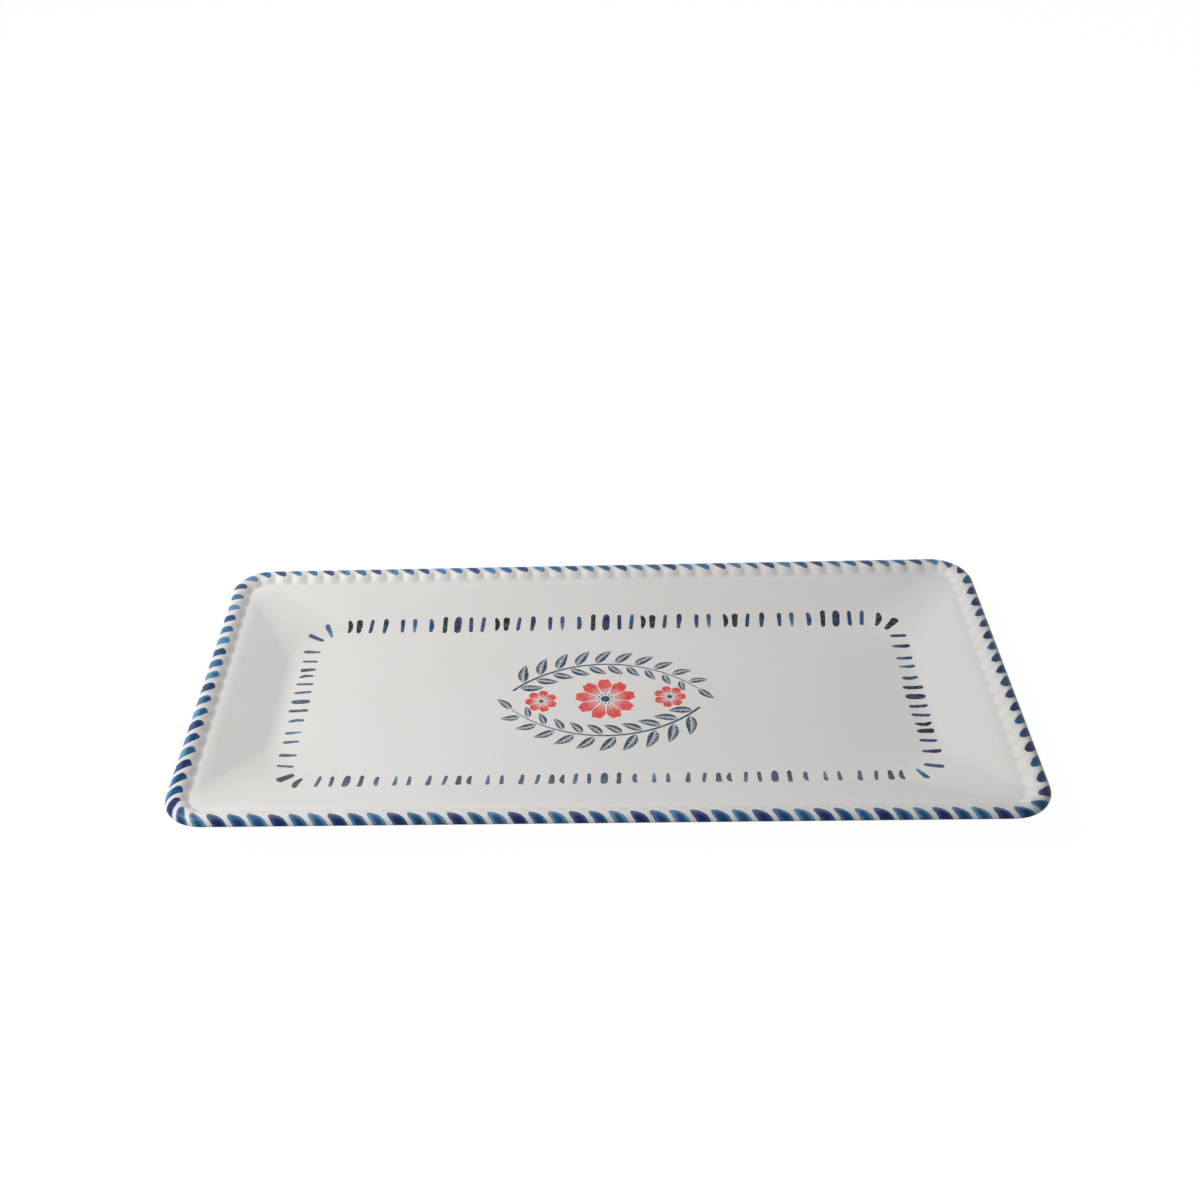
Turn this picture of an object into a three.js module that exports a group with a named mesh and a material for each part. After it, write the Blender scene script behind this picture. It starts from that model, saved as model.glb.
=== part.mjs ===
// Rectangular serving platter with a rope-moulded rim, in millimetres, +Z up.
// The origin is on the table under the middle of the platter. +X runs along its length.
import * as THREE from 'three';

// Overall size, over the rope rim
const LENGTH = 360;
const WIDTH = 175;
const CORNER_RADIUS = 18;

// Heights
const FOOT_HEIGHT = 2.5;
const FLOOR_THICKNESS = 5;
const WELL_DEPTH = 11;
const FLOOR_Z = FOOT_HEIGHT + FLOOR_THICKNESS;
const LIP_Z = FLOOR_Z + WELL_DEPTH;

// Body section, as distances in from the outer edge
const FLANGE_INSET = 0.5;
const LIP_INSET = 15;
const WALL_FOOT_INSET = 36;
const RIM_THICKNESS = 4.5;
const RIM_UNDERCUT = 4;
const INNER_CORNER_RADIUS = 9;
const CORNER_STEPS = 9;

// Lengths of the soft bends in the body section
const FLOOR_BEND = 6;
const LIP_BEND = 4;
const UNDERCUT_BEND = 1.5;
const WALL_UNDER_BEND = 5;
const BEND_STEPS = 4;

// Rope rim: a low rounded roll with leaning lobes, its crest nearer the outer edge
const ROPE_WIDTH = 9.5;
const ROPE_HEIGHT = 2.6;
const ROPE_CREST = 0.36;
const LOBES_ON_LONG_SIDE = 41;
const LOBES_ON_SHORT_SIDE = 16;
const LOBES_ON_CORNER = 3;
const LOBES_IN_ALL = 2 * (LOBES_ON_LONG_SIDE + LOBES_ON_SHORT_SIDE) + 4 * LOBES_ON_CORNER;
const LOBE_PHASE = 0.1;
const LOBE_LEAN = 0.5;
const LEAN_START = 1 / 6;
const STEPS_PER_LOBE = 6;
const ROPE_ARC_STEPS = 6;
const GROOVE_DEPTH = 0.45;
const GROOVE_FADE = 0.5;
const FOOT_SCALLOP = 0.09;

// Foot ring
const FOOT_INSET = 39.5;
const FOOT_WIDTH = 4.5;
const FOOT_DRAFT = 0.4;
const FOOT_EDGE = 0.8;
const FOOT_CORNER_RADIUS = 12;

const glaze = () => new THREE.MeshStandardMaterial({ color: 0xe4e2dd, roughness: 0.28, metalness: 0 });
const biscuit = () => new THREE.MeshStandardMaterial({ color: 0xd9cfbf, roughness: 0.85, metalness: 0 });

// A closed outline in plan, a rounded rectangle set in from the outer edge
function planOutline(inset, radius, z) {
  const halfX = LENGTH / 2 - inset - radius;
  const halfY = WIDTH / 2 - inset - radius;
  const centres = [[halfX, -halfY], [halfX, halfY], [-halfX, halfY], [-halfX, -halfY]];
  const points = [];
  centres.forEach(([x, y], quarter) => {
    for (let step = 0; step <= CORNER_STEPS; step++) {
      const angle = (quarter - 1 + step / CORNER_STEPS) * Math.PI / 2;
      points.push(new THREE.Vector3(x + radius * Math.cos(angle), y + radius * Math.sin(angle), z));
    }
  });
  return points;
}

// Skins a stack of outlines that run counter-clockwise and start on an upper face. A ring's section
// closes on itself; otherwise the first and last outlines are capped.
function loft(outlines, isRing) {
  const count = outlines[0].length;
  const points = outlines.flat();
  const index = [];
  const bands = isRing ? outlines.length : outlines.length - 1;
  for (let band = 0; band < bands; band++) {
    const here = band * count;
    const next = ((band + 1) % outlines.length) * count;
    for (let i = 0; i < count; i++) {
      const after = (i + 1) % count;
      index.push(here + i, next + i, next + after, here + i, next + after, here + after);
    }
  }
  if (!isRing) {
    const last = (outlines.length - 1) * count;
    const top = points.push(new THREE.Vector3(0, 0, outlines[0][0].z)) - 1;
    const bottom = points.push(new THREE.Vector3(0, 0, outlines.at(-1)[0].z)) - 1;
    for (let i = 0; i < count; i++) {
      const after = (i + 1) % count;
      index.push(top, i, after, bottom, last + after, last + i);
    }
  }
  const geometry = new THREE.BufferGeometry().setFromPoints(points);
  geometry.setIndex(index);
  geometry.computeVertexNormals();
  return geometry;
}

// Rounds the corners of a section line. Each corner is [inset, z, length of its bend].
function softSection(start, corners, end) {
  const line = [start, ...corners, end].map(([inset, z]) => new THREE.Vector2(inset, z));
  const section = [line[0]];
  corners.forEach(([, , bend], i) => {
    const corner = line[i + 1];
    if (!bend) {
      section.push(corner);
      return;
    }
    const before = line[i].clone().sub(corner).setLength(bend).add(corner);
    const after = line[i + 2].clone().sub(corner).setLength(bend).add(corner);
    section.push(...new THREE.QuadraticBezierCurve(before, corner, after).getPoints(BEND_STEPS));
  });
  return section;
}

// The slab: floor, sloping wall, flat lip and flange, then back along the underside at an even thickness
function platterBody() {
  const wallSlope = WELL_DEPTH / (WALL_FOOT_INSET - LIP_INSET);
  const wallDrop = FLOOR_THICKNESS * Math.hypot(1, wallSlope);
  const underWall = (z) => LIP_INSET + (LIP_Z - wallDrop - z) / wallSlope;
  const rimUnderside = LIP_Z - RIM_THICKNESS;
  const floorEdge = [WALL_FOOT_INSET + 2 * FLOOR_BEND, FLOOR_Z];
  const baseEdge = [underWall(FOOT_HEIGHT) + 2 * WALL_UNDER_BEND, FOOT_HEIGHT];
  const section = softSection(floorEdge, [
    [WALL_FOOT_INSET, FLOOR_Z, FLOOR_BEND],
    [LIP_INSET, LIP_Z, LIP_BEND],
    [FLANGE_INSET, LIP_Z],
    [RIM_UNDERCUT, rimUnderside, UNDERCUT_BEND],
    [underWall(rimUnderside), rimUnderside, WALL_UNDER_BEND],
    [underWall(FOOT_HEIGHT), FOOT_HEIGHT, WALL_UNDER_BEND],
  ], baseEdge);
  const radiusAt = (inset) => Math.max(CORNER_RADIUS - inset, INNER_CORNER_RADIUS);
  return loft(section.map(({ x, y }) => planOutline(x, radiusAt(x), y)), false);
}

// A place along the rim, counted in lobes counter-clockwise from the left end of the front side: a point
// of the core line that the corners turn about, with the direction that the rim faces there.
function rimPlace(lobe) {
  const halfX = LENGTH / 2 - CORNER_RADIUS;
  const halfY = WIDTH / 2 - CORNER_RADIUS;
  const corners = [[-halfX, -halfY], [halfX, -halfY], [halfX, halfY], [-halfX, halfY]];
  let left = lobe % LOBES_IN_ALL;
  let side = 0;
  let sideLobes = LOBES_ON_LONG_SIDE;
  while (left >= sideLobes + LOBES_ON_CORNER) {
    left -= sideLobes + LOBES_ON_CORNER;
    side++;
    sideLobes = side % 2 ? LOBES_ON_SHORT_SIDE : LOBES_ON_LONG_SIDE;
  }
  const [startX, startY] = corners[side];
  const [endX, endY] = corners[(side + 1) % 4];
  const part = Math.min(left / sideLobes, 1);
  const turn = Math.max(left - sideLobes, 0) / LOBES_ON_CORNER;
  return [startX + (endX - startX) * part, startY + (endY - startY) * part, (side - 1 + turn) * Math.PI / 2];
}

// The rope: its lobes start square to the rim at the inner foot and lean over on their way out. The
// grooves between them fade out towards the smooth outer edge, and the roll lies flat on the flange.
function ropeRim() {
  const crestPower = Math.log(0.5) / Math.log(ROPE_CREST);
  const outlines = [];
  for (let arc = 0; arc <= ROPE_ARC_STEPS; arc++) {
    const round = arc / ROPE_ARC_STEPS;
    const across = (1 + Math.cos(round * Math.PI)) / 2;
    const isSeated = arc === 0 || arc === ROPE_ARC_STEPS;
    const dome = isSeated ? 0 : ROPE_HEIGHT * Math.sin(Math.PI * across ** crestPower);
    const groove = GROOVE_DEPTH * THREE.MathUtils.smoothstep(across, 0, GROOVE_FADE);
    const lean = LOBE_LEAN * THREE.MathUtils.smoothstep(round, LEAN_START, 1);
    const outline = [];
    for (let step = 0; step < STEPS_PER_LOBE * LOBES_IN_ALL; step++) {
      const lobe = step / STEPS_PER_LOBE;
      const hollow = 1 - Math.abs(Math.cos(Math.PI * lobe));
      const [x, y, facing] = rimPlace(lobe + lean + LOBE_PHASE);
      const inset = ROPE_WIDTH * across * (1 - FOOT_SCALLOP * across * hollow);
      const reach = CORNER_RADIUS - inset;
      const z = LIP_Z + dome * (1 - groove * hollow);
      outline.push(new THREE.Vector3(x + reach * Math.cos(facing), y + reach * Math.sin(facing), z));
    }
    outlines.push(outline);
  }
  return loft(outlines, true);
}

// The foot: a strip with drafted sides and eased edges, under the edge of the floor
function footRing() {
  const inner = FOOT_INSET + FOOT_WIDTH;
  const section = [
    [inner, FOOT_HEIGHT],
    [FOOT_INSET, FOOT_HEIGHT],
    [FOOT_INSET + FOOT_DRAFT, FOOT_EDGE],
    [FOOT_INSET + FOOT_DRAFT + FOOT_EDGE, 0],
    [inner - FOOT_DRAFT - FOOT_EDGE, 0],
    [inner - FOOT_DRAFT, FOOT_EDGE],
  ];
  const radiusAt = (inset) => FOOT_CORNER_RADIUS - (inset - FOOT_INSET);
  return loft(section.map(([inset, z]) => planOutline(inset, radiusAt(inset), z)), true);
}

const platter = new THREE.Group();

function addPiece(name, geometry, material) {
  const piece = new THREE.Mesh(geometry, material);
  piece.name = name;
  platter.add(piece);
}

addPiece('platter_body', platterBody(), glaze());
addPiece('rope_rim', ropeRim(), glaze());
addPiece('foot_ring', footRing(), biscuit());

export default platter;
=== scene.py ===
# %% [markdown]
# This lesson dresses a rectangular serving platter of glazed clay. The frame holds its three solids: a
# pressed slab, a roll of clay modelled as a rope, and a foot ring. Glaze shows every facet, so each form
# is made again here with a finer mesh, and is then glazed and painted.

import bpy
import numpy as np
from mathutils import Matrix


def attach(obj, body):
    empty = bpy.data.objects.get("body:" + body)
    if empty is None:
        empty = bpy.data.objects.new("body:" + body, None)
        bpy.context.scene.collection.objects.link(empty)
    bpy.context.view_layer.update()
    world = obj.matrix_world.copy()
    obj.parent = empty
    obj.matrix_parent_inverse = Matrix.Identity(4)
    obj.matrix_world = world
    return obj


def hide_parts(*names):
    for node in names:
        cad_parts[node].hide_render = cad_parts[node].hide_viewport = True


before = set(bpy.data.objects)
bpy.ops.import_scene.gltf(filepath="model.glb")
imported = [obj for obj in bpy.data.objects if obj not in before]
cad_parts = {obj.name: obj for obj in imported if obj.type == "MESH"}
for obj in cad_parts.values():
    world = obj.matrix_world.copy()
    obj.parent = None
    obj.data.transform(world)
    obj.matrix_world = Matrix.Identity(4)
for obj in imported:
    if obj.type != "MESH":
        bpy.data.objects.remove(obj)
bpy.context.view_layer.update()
MM = 0.001
print("solids in the frame:", sorted(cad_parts))

# %% [markdown]
# The camera stands in front of one long side and looks down on the platter. Its lens and place were found
# by laying the platter's outline over the photograph. The camera could be made to track an empty, but a
# matrix built from three directions holds the small roll of the shot as well. The photograph is cropped a
# little off the lens axis, so the camera has a small sideways shift.

# %% The camera
IMAGE_WIDTH = 1200
SENSOR_WIDTH = 36.0
FOCAL_LENGTH_PIXELS = 1411.6
CAMERA_TURN = np.radians(3.442)
CAMERA_LOOK_DOWN = np.radians(36.84)
CAMERA_ROLL = np.radians(-3.091)
CAMERA_DISTANCE = 642.39
CAMERA_SIDESTEP = -32.63
CAMERA_RISE = 50.91
CROP_PIXELS = 72.1


def standing(right, up, back, place):
    """The matrix of a camera or lamp, from its three directions and its place in metres."""
    matrix = np.eye(4)
    matrix[:3] = np.column_stack([right, up, back, place])
    return Matrix(matrix.tolist())


def camera_matrix():
    flat = np.cos(CAMERA_LOOK_DOWN)
    back = np.array([np.sin(CAMERA_TURN) * flat, -np.cos(CAMERA_TURN) * flat, np.sin(CAMERA_LOOK_DOWN)])
    level_right = np.array([np.cos(CAMERA_TURN), np.sin(CAMERA_TURN), 0.0])
    level_up = np.cross(back, level_right)
    right = np.cos(CAMERA_ROLL) * level_right + np.sin(CAMERA_ROLL) * level_up
    up = np.cos(CAMERA_ROLL) * level_up - np.sin(CAMERA_ROLL) * level_right
    place = back * CAMERA_DISTANCE + right * CAMERA_SIDESTEP + up * CAMERA_RISE
    return standing(right, up, back, place * MM)


camera_data = bpy.data.cameras.new("table_camera")
camera_data.sensor_width = SENSOR_WIDTH
camera_data.lens = FOCAL_LENGTH_PIXELS * SENSOR_WIDTH / IMAGE_WIDTH
camera_data.shift_x = CROP_PIXELS / IMAGE_WIDTH
camera = bpy.data.objects.new("table_camera", camera_data)
camera.matrix_world = camera_matrix()
bpy.context.scene.collection.objects.link(camera)
bpy.context.scene.camera = camera
print("lens of %.2f mm" % camera_data.lens)

# %% [markdown]
# Every clay form of the platter runs round the same rounded rectangle, so one way of working serves for
# all: draw the form's section, carry it round the plan, and skin the outlines with quads. Modifiers could
# bevel a box, but a skin over outlines gives even bends, which is what glaze needs for smooth highlights.

# %% Outlines and skins
LENGTH = 360.0
WIDTH = 175.0
CORNER_STEPS = 24
SHARP_ANGLE = np.radians(42)


def plan_outline(inset, radius, z):
    """A rounded rectangle, counter-clockwise, set in from the platter's outer edge."""
    half = np.array([LENGTH, WIDTH]) / 2 - inset - radius
    corners = half * np.array([[1, -1], [1, 1], [-1, 1], [-1, -1]])
    quarters = np.arange(4)[:, None] - 1 + np.linspace(0, 1, CORNER_STEPS + 1)
    x = corners[:, :1] + radius * np.cos(quarters * np.pi / 2)
    y = corners[:, 1:] + radius * np.sin(quarters * np.pi / 2)
    return np.stack([x, y, np.full_like(x, z)], -1).reshape(-1, 3)


def skin_faces(outlines, columns, is_ring):
    """Quads between outlines that start on an upper face. A ring's last outline meets its first."""
    here = np.arange(outlines if is_ring else outlines - 1)[:, None] * columns
    following = (here + columns) % (outlines * columns)
    column = np.arange(columns)[None]
    after = (column + 1) % columns
    quads = [here + column, following + column, following + after, here + after]
    return np.stack(quads, -1).reshape(-1, 4)


def clay_piece(name, points, faces):
    mesh = bpy.data.meshes.new(name)
    mesh.from_pydata((np.asarray(points) * MM).tolist(), [], [list(face) for face in faces])
    mesh.shade_smooth()
    mesh.set_sharp_from_angle(angle=SHARP_ANGLE)
    piece = bpy.data.objects.new(name, mesh)
    bpy.context.scene.collection.objects.link(piece)
    print("%s: %d faces" % (name, len(mesh.polygons)))
    return piece


# %% [markdown]
# The body is a slab pressed over a hump mould: a flat floor, walls that slope up at about 23 degrees to
# the foot of the rope, and a flange that carries it. The potter's sponge leaves no hard crease in it, so
# each corner of the section becomes a short curve. The wall is steeper underneath. The floor and base are
# single flat faces.

# %% The body's section
FOOT_HEIGHT = 2.5
FLOOR_THICKNESS = 5.0
WELL_DEPTH = 11.0
FLOOR_Z = FOOT_HEIGHT + FLOOR_THICKNESS
LIP_Z = FLOOR_Z + WELL_DEPTH
FLANGE_INSET = 0.5
LIP_INSET = 10.0
WALL_FOOT_INSET = 36.0
UNDER_LIP_INSET = 15.0
RIM_THICKNESS = 4.5
RIM_UNDERSIDE = LIP_Z - RIM_THICKNESS
RIM_UNDERCUT = 4.0
FLOOR_BEND = 4.0
LIP_BEND = 5.0
UNDERCUT_BEND = 1.5
WALL_UNDER_BEND = 5.0
BEND_STEPS = 12
UNDER_SLOPE = WELL_DEPTH / (WALL_FOOT_INSET - UNDER_LIP_INSET)


def under_wall(z):
    """How far in the wall's outer face is at a height."""
    return UNDER_LIP_INSET + (LIP_Z - FLOOR_THICKNESS * np.hypot(1, UNDER_SLOPE) - z) / UNDER_SLOPE


def soft_section(start, corners, end):
    """Rounds the corners of a section line. Each corner is (inset, height, length of its bend)."""
    line = [np.array(spot[:2]) for spot in (start, *corners, end)]
    section = [line[0]]
    along = np.linspace(0, 1, BEND_STEPS + 1)[:, None]
    for i, (_, _, bend) in enumerate(corners, 1):
        corner = line[i]
        if not bend:
            section.append(corner)
            continue
        before = corner + bend * (line[i - 1] - corner) / np.linalg.norm(line[i - 1] - corner)
        after = corner + bend * (line[i + 1] - corner) / np.linalg.norm(line[i + 1] - corner)
        section.extend((1 - along) ** 2 * before + 2 * along * (1 - along) * corner + along**2 * after)
    return np.array(section)


body_section = soft_section(
    (WALL_FOOT_INSET + 2 * FLOOR_BEND, FLOOR_Z),
    [
        (WALL_FOOT_INSET, FLOOR_Z, FLOOR_BEND),
        (LIP_INSET, LIP_Z, LIP_BEND),
        (FLANGE_INSET, LIP_Z, 0),
        (RIM_UNDERCUT, RIM_UNDERSIDE, UNDERCUT_BEND),
        (under_wall(RIM_UNDERSIDE), RIM_UNDERSIDE, WALL_UNDER_BEND),
        (under_wall(FOOT_HEIGHT), FOOT_HEIGHT, WALL_UNDER_BEND),
    ],
    (under_wall(FOOT_HEIGHT) + 2 * WALL_UNDER_BEND, FOOT_HEIGHT),
)
print("the body's section has %d points" % len(body_section))

# %% The body's mesh
CORNER_RADIUS = 18.0
INNER_CORNER_RADIUS = 9.0
CORNER_GROWTH = 0.7
WELL_POINTS = 2 * (BEND_STEPS + 1) + 1


def well_corner_radius(inset):
    """The well's corners open out from the lip to the floor."""
    return INNER_CORNER_RADIUS + CORNER_GROWTH * (inset - INNER_CORNER_RADIUS)


def pressed_body():
    outlines = []
    for number, (inset, z) in enumerate(body_section):
        inner_radius = well_corner_radius(inset) if number < WELL_POINTS else INNER_CORNER_RADIUS
        outlines.append(plan_outline(inset, max(CORNER_RADIUS - inset, inner_radius), z))
    columns = len(outlines[0])
    last = (len(outlines) - 1) * columns
    faces = skin_faces(len(outlines), columns, False).tolist()
    faces.append(list(range(columns)))
    faces.append(list(range(last + columns - 1, last - 1, -1)))
    return clay_piece("glazed_body", np.concatenate(outlines), faces)


def body_top(inset):
    """The height of the body's upper face at a distance in from the outer edge."""
    section = body_section[:WELL_POINTS][::-1]
    return np.interp(inset, section[:, 0], section[:, 1])


glazed_body = pressed_body()

# %% [markdown]
# The rope is a roll of clay luted on the flange and tooled into 126 lobes. Each groove starts square to
# the rim at the inner foot and leans over on its way out, most of all along the front, and fades towards
# a smooth outer edge. The lobes were spaced by eye, so they drift by up to about half a lobe, and two of
# the corners were smoothed over. A screw modifier could twist a profile, but it can't turn the corners,
# so the roll is skinned from outlines whose points slide along the rim as they go outwards.

# %% Places along the rim
LOBES_ON_LONG_SIDE = 41
LOBES_ON_SHORT_SIDE = 16
LOBES_ON_CORNER = 3
SIDE_LOBES = [LOBES_ON_LONG_SIDE, LOBES_ON_SHORT_SIDE] * 2
LOBES_IN_ALL = sum(SIDE_LOBES) + 4 * LOBES_ON_CORNER
SIDE_STARTS = np.cumsum([0, *[lobes + LOBES_ON_CORNER for lobes in SIDE_LOBES]])[:4]
SIDE_ENDS = np.stack([SIDE_STARTS, SIDE_STARTS + SIDE_LOBES], -1).ravel()


def rim_place(lobe):
    """A point of the line that the corners turn about, and the way the rim faces, counted in lobes."""
    half_x = LENGTH / 2 - CORNER_RADIUS
    half_y = WIDTH / 2 - CORNER_RADIUS
    corners = [(-half_x, -half_y), (half_x, -half_y), (half_x, half_y), (-half_x, half_y)]
    corners.append(corners[0])
    counts, spots, turns = [], [], []
    count = 0
    for side, side_lobes in enumerate(SIDE_LOBES):
        counts += [count, count + side_lobes]
        spots += [corners[side], corners[side + 1]]
        turns += [side - 1, side - 1]
        count += side_lobes + LOBES_ON_CORNER
    counts.append(count)
    spots.append(corners[0])
    turns.append(3)
    x, y = np.array(spots).T
    at = np.mod(lobe, LOBES_IN_ALL)
    return np.interp(at, counts, x), np.interp(at, counts, y), np.interp(at, counts, turns) * np.pi / 2


def along_rim(place, front, right, back, left):
    """A number that changes round the rim. A side has one value, or a pair for its two ends."""
    values = np.concatenate([np.broadcast_to(side, 2) for side in (front, right, back, left)])
    return np.interp(place, SIDE_ENDS, values, period=LOBES_IN_ALL)


print("%d lobes round the rim" % LOBES_IN_ALL)

# %% How the lobes are spaced
LOBE_PHASE = -0.55
STEPS_PER_LOBE = 20
DRIFT_PLACES = [0, 4, 14, 25, 31, 39, 46, 58, 66, 77, 88, 94, 100, 109, 121]
DRIFTS = [-0.55, -0.33, -0.17, 0.10, 0.27, 0.0, 0.28, -0.32, -0.24, -0.16, 0.06, 0.24, 0.30, 0.42, 0.0]
lobe_at = (np.arange(STEPS_PER_LOBE * LOBES_IN_ALL) / STEPS_PER_LOBE)[None]
drift_at = np.interp(lobe_at, DRIFT_PLACES, DRIFTS, period=LOBES_IN_ALL)
lobe_place = lobe_at + drift_at + LOBE_PHASE
lean_by_mm = along_rim(lobe_place, 0.12, 0.055, 0.06, 0.06)
groove_shift = along_rim(lobe_place, (1.05, 0.6), (0.6, 0.1), (-0.38, -0.65), (-0.24, 1.05))
print("lobes lean by up to %.2f lobes a millimetre" % lean_by_mm.max())

# %% The rope's profile
ROPE_HEIGHT = 2.6
ROPE_CREST = 0.35
ROPE_ARC_STEPS = 26
INNER_FULLNESS = 1.5
round_at = np.linspace(0, 1, ROPE_ARC_STEPS + 1)[:, None]
across_at = (1 + np.cos(np.pi * round_at)) / 2
outer_dome = np.sin(np.pi * across_at ** (np.log(0.5) / np.log(ROPE_CREST)))
from_crest = np.clip((across_at - ROPE_CREST) / (1 - ROPE_CREST), 0, 1)
inner_dome = (1 + np.cos(np.pi * from_crest**INNER_FULLNESS)) / 2
dome = ROPE_HEIGHT * np.where(across_at < ROPE_CREST, outer_dome, inner_dome)
dome[[0, -1]] = 0
rope_width = along_rim(lobe_place, 9.6, 10.7, 10.4, 10.4)
print("the roll is %.1f to %.1f mm wide" % (rope_width.min(), rope_width.max()))

# %% The grooves between the lobes
GROOVE_START = 0.3
GROOVE_FULL = 0.75
GROOVE_SOFTNESS = 0.2
BACK_RIGHT_CORNER = LOBES_ON_LONG_SIDE + LOBES_ON_SHORT_SIDE + 1.5 * LOBES_ON_CORNER
FRONT_LEFT_CORNER = -0.5 * LOBES_ON_CORNER
SMOOTHED_LOBES = 2.0
SMOOTHED_SHARE = 0.75


def smoothstep(value, low, high):
    part = np.clip((value - low) / (high - low), 0, 1)
    return part * part * (3 - 2 * part)


ridge = np.hypot(np.cos(np.pi * lobe_at), GROOVE_SOFTNESS) / np.hypot(1, GROOVE_SOFTNESS)
hollow = 1 - ridge
tooled = np.ones_like(lobe_place)
for corner in (BACK_RIGHT_CORNER, FRONT_LEFT_CORNER):
    from_corner = (lobe_place - corner + LOBES_IN_ALL / 2) % LOBES_IN_ALL - LOBES_IN_ALL / 2
    tooled -= SMOOTHED_SHARE * np.exp(-((from_corner / SMOOTHED_LOBES) ** 2))
groove_depth = along_rim(lobe_place, 0.15, 0.6, 0.52, (0.5, 0.35)) * tooled
groove = smoothstep(across_at, GROOVE_START, GROOVE_FULL)
print("the deepest groove takes %.2f of the roll's height" % groove_depth.max())

# %% The rope's points
FOOT_SCALLOP = 0.08
lean = groove_shift + lean_by_mm * rope_width / 2 * (1 - across_at) ** 2
rim_at = lobe_place + lean
rim_x, rim_y, rim_facing = rim_place(rim_at)
rope_inset = rope_width * across_at * (1 - FOOT_SCALLOP * tooled * across_at * hollow)
reach = CORNER_RADIUS - rope_inset
rope_x = rim_x + reach * np.cos(rim_facing)
rope_y = rim_y + reach * np.sin(rim_facing)
rope_z = body_top(rope_inset) + dome * (1 - groove_depth * groove * hollow)
rope_points = np.stack([rope_x, rope_y, rope_z], -1).reshape(-1, 3)
print("the roll is %.2f mm high" % (rope_z.max() - LIP_Z))

# %% The rope's mesh
rope_columns = STEPS_PER_LOBE * LOBES_IN_ALL
rope_faces = skin_faces(ROPE_ARC_STEPS + 1, rope_columns, True)
rope_roll = clay_piece("rope_roll", rope_points, rope_faces.tolist())

# %% [markdown]
# A bake needs the rope laid out flat. Left to itself, Blender would cut it into odd scraps, so its map is
# laid out as a printer lays out labels: nine strips of fourteen lobes, one below the other, each
# with the hidden seat of its stretch in a narrow band beside it.

# %% The rope's map
STRIPS = 9
STRIP_FACE = (0.02, 0.86)
STRIP_SEAT = (0.90, 0.97)
MAP_MARGIN = 0.004


def strip_map():
    strip_columns = rope_columns // STRIPS
    column = np.arange(rope_columns)
    strip = column // strip_columns
    left = MAP_MARGIN + (1 - 2 * MAP_MARGIN) * (column % strip_columns) / strip_columns
    right = left + (1 - 2 * MAP_MARGIN) / strip_columns
    levels = np.linspace(*STRIP_FACE, ROPE_ARC_STEPS + 1)
    maps = []
    for low, high in [*zip(levels[:-1], levels[1:]), STRIP_SEAT]:
        bottom = (strip + low) / STRIPS
        top = (strip + high) / STRIPS
        maps.append(np.stack([left, bottom, left, top, right, top, right, bottom], -1))
    return np.concatenate(maps)


rope_layer = rope_roll.data.uv_layers.new(name="OFBake")
rope_layer.data.foreach_set("uv", strip_map().ravel())
print("the rope's map has %d strips" % STRIPS)

# %% [markdown]
# One brush stroke for each lobe runs in from the outer edge, in three blues that take turns. The brush
# was held in another way on each side: the strokes are short leaning fins along the front, rounder on the
# right, and longest on the left, where they start a little way in from the edge. Thin shells could carry
# the paint, but a stroke has soft, watery edges. So each point of the rope gets numbers that say how deep
# it is inside its stroke, and the material turns these into paint.

# %% How the brush was held
STROKE_SEED = 11
SHIFT_SPREAD = 0.012
LENGTH_SPREAD = 0.16
SWELL_SPREAD = 0.04
LOAD_SPREAD = 0.3
MIDDLE_INSET = 3.0
stroke_rng = np.random.default_rng(STROKE_SEED)
shift_by_lobe = stroke_rng.normal(0, SHIFT_SPREAD, LOBES_IN_ALL)
length_by_lobe = stroke_rng.normal(0, LENGTH_SPREAD, LOBES_IN_ALL)
swell_by_lobe = stroke_rng.normal(1, SWELL_SPREAD, LOBES_IN_ALL)
load_by_lobe = stroke_rng.uniform(-LOAD_SPREAD, LOAD_SPREAD, LOBES_IN_ALL)

flat_inset = rope_width * across_at
stroke_phase = along_rim(rim_at, 0.18, (0.09, 0.10), (0.16, 0.13), (0.17, 0.28))
stroke_lean = along_rim(rim_at, 0.12, (0.105, 0.09), 0.10, (0.035, 0.10))
stroke_middle = stroke_phase + stroke_lean * (MIDDLE_INSET - flat_inset)
stroke_place = lobe_at + LOBE_PHASE + lean - stroke_middle
stroke_number = np.rint(stroke_place).astype(int)
from_middle = stroke_place - stroke_number
stroke_number %= LOBES_IN_ALL
from_middle = from_middle - shift_by_lobe[stroke_number]
side_length = along_rim(rim_at, (5.0, 4.5), (5.5, 5.9), 6.6, (7.3, 7.4))
stroke_length = side_length + length_by_lobe[stroke_number]
print("strokes reach in by %.1f to %.1f mm" % (stroke_length.min(), stroke_length.max()))

# %% How deep each point is inside its stroke
LOBE_PITCH = 8.0
TIP_ROUNDNESS = 0.65
OUTER_FADE = 0.35
PAST_THE_EDGE = -9.0
tip_length = along_rim(rim_at, 3.4, 3.4, 3.2, (2.2, 3.2))
side_width = along_rim(rim_at, 0.36, 0.35, (0.335, 0.32), (0.27, 0.36))
half_width = side_width * swell_by_lobe[stroke_number]
from_tip = stroke_length - flat_inset
tip_part = np.clip(from_tip / tip_length, 0, 1)
tip_taper = (1 - (1 - tip_part) ** 2) ** TIP_ROUNDNESS
tip_skew = along_rim(rim_at, 0.0, 0.3, 0.1, (0.3, 0.6)) * half_width * (1 - tip_taper)
from_tip_line = np.abs(from_middle - tip_skew)
stroke_depth = np.minimum((half_width * tip_taper - from_tip_line) * LOBE_PITCH, from_tip)
outer_start = along_rim(rim_at, PAST_THE_EDGE, PAST_THE_EDGE, PAST_THE_EDGE, (1.5, 0.7))
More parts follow.
